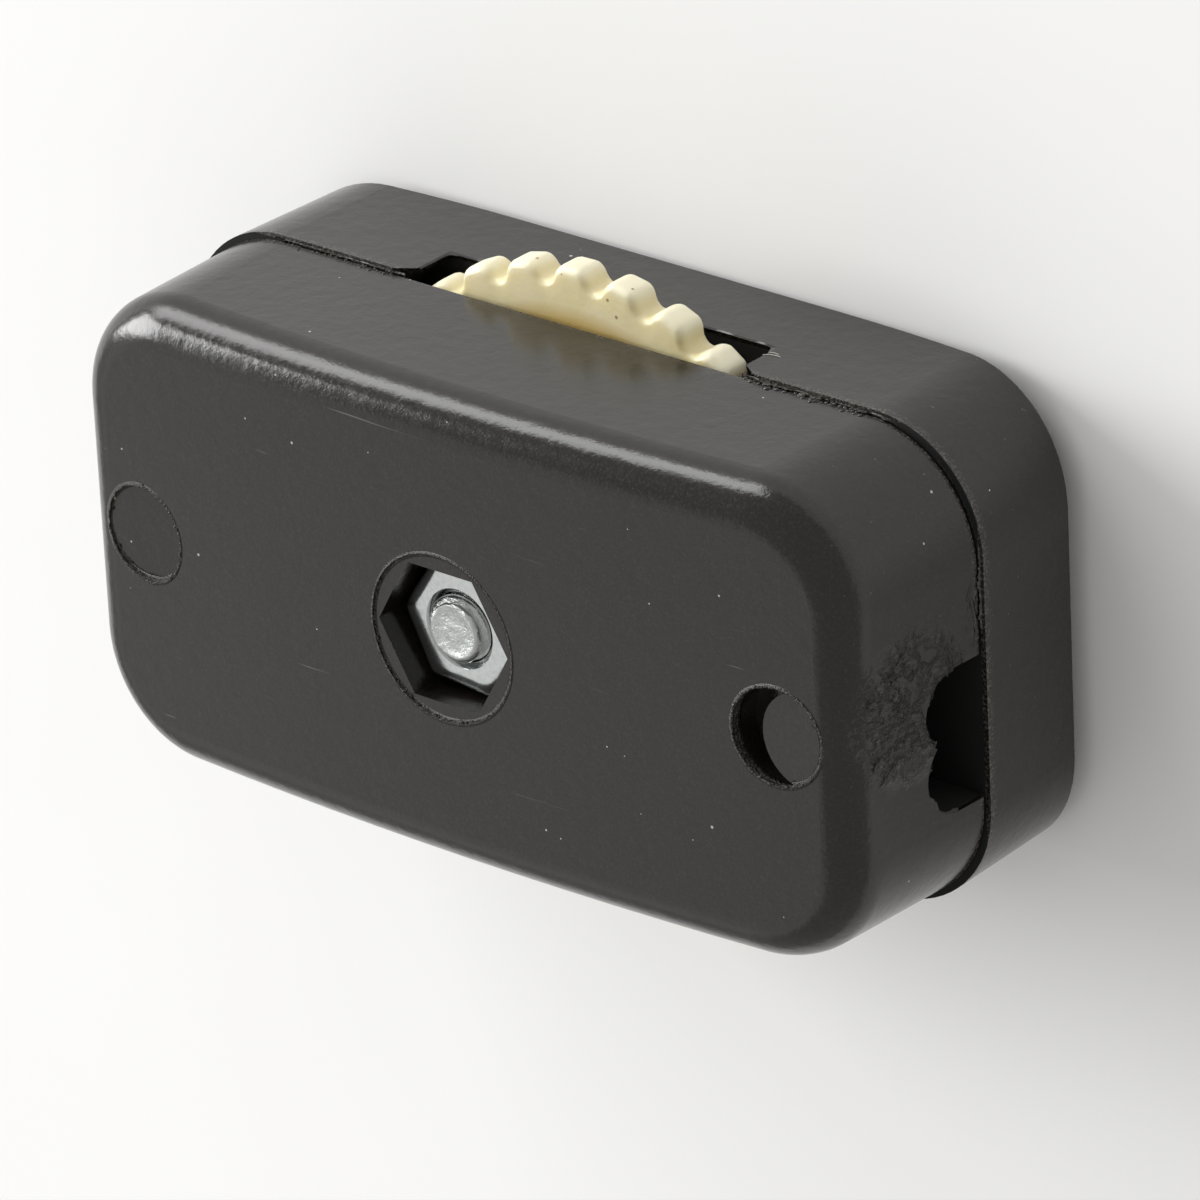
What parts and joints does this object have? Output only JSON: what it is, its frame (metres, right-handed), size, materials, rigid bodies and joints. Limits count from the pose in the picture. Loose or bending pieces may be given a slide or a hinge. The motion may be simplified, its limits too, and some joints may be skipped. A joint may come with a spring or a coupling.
{
  "type": "inline cord switch",
  "caption": "Rotary inline switch for a flat lamp cord: a two-piece moulded housing closed by a through screw and a sunk hex nut, with a toothed thumbwheel turning between its halves.",
  "frame": {"origin": "bottom centre of the bounding box: under the screw axis, on the outside of the rear housing", "axes": "+X along the cord, +Y across the body, with the cord notch on the -Y side of the middle, +Z along the screw from the rear housing to the nut face"},
  "size_m": [0.0396, 0.0244, 0.0154],
  "materials": {
    "housing_plastic": "moulded, polished",
    "wheel_plastic": "moulded, satin",
    "contact_brass": "stamped",
    "zinc_steel": "zinc plated"
  },
  "bodies": {
    "housing": {"front_housing": "housing_plastic", "rear_housing": "housing_plastic", "left_terminal": "contact_brass", "right_terminal": "contact_brass", "machine_screw": "zinc_steel", "hex_nut": "zinc_steel"},
    "wheel": {"thumbwheel": "wheel_plastic", "contact_plate": "contact_brass"}
  },
  "joints": [
    {"name": "wheel_turn", "type": "hinge", "parent": "housing", "child": "wheel", "pos_m": [0, 0, 0.0059], "axis": [0, 0, 1], "continuous": true}
  ]
}
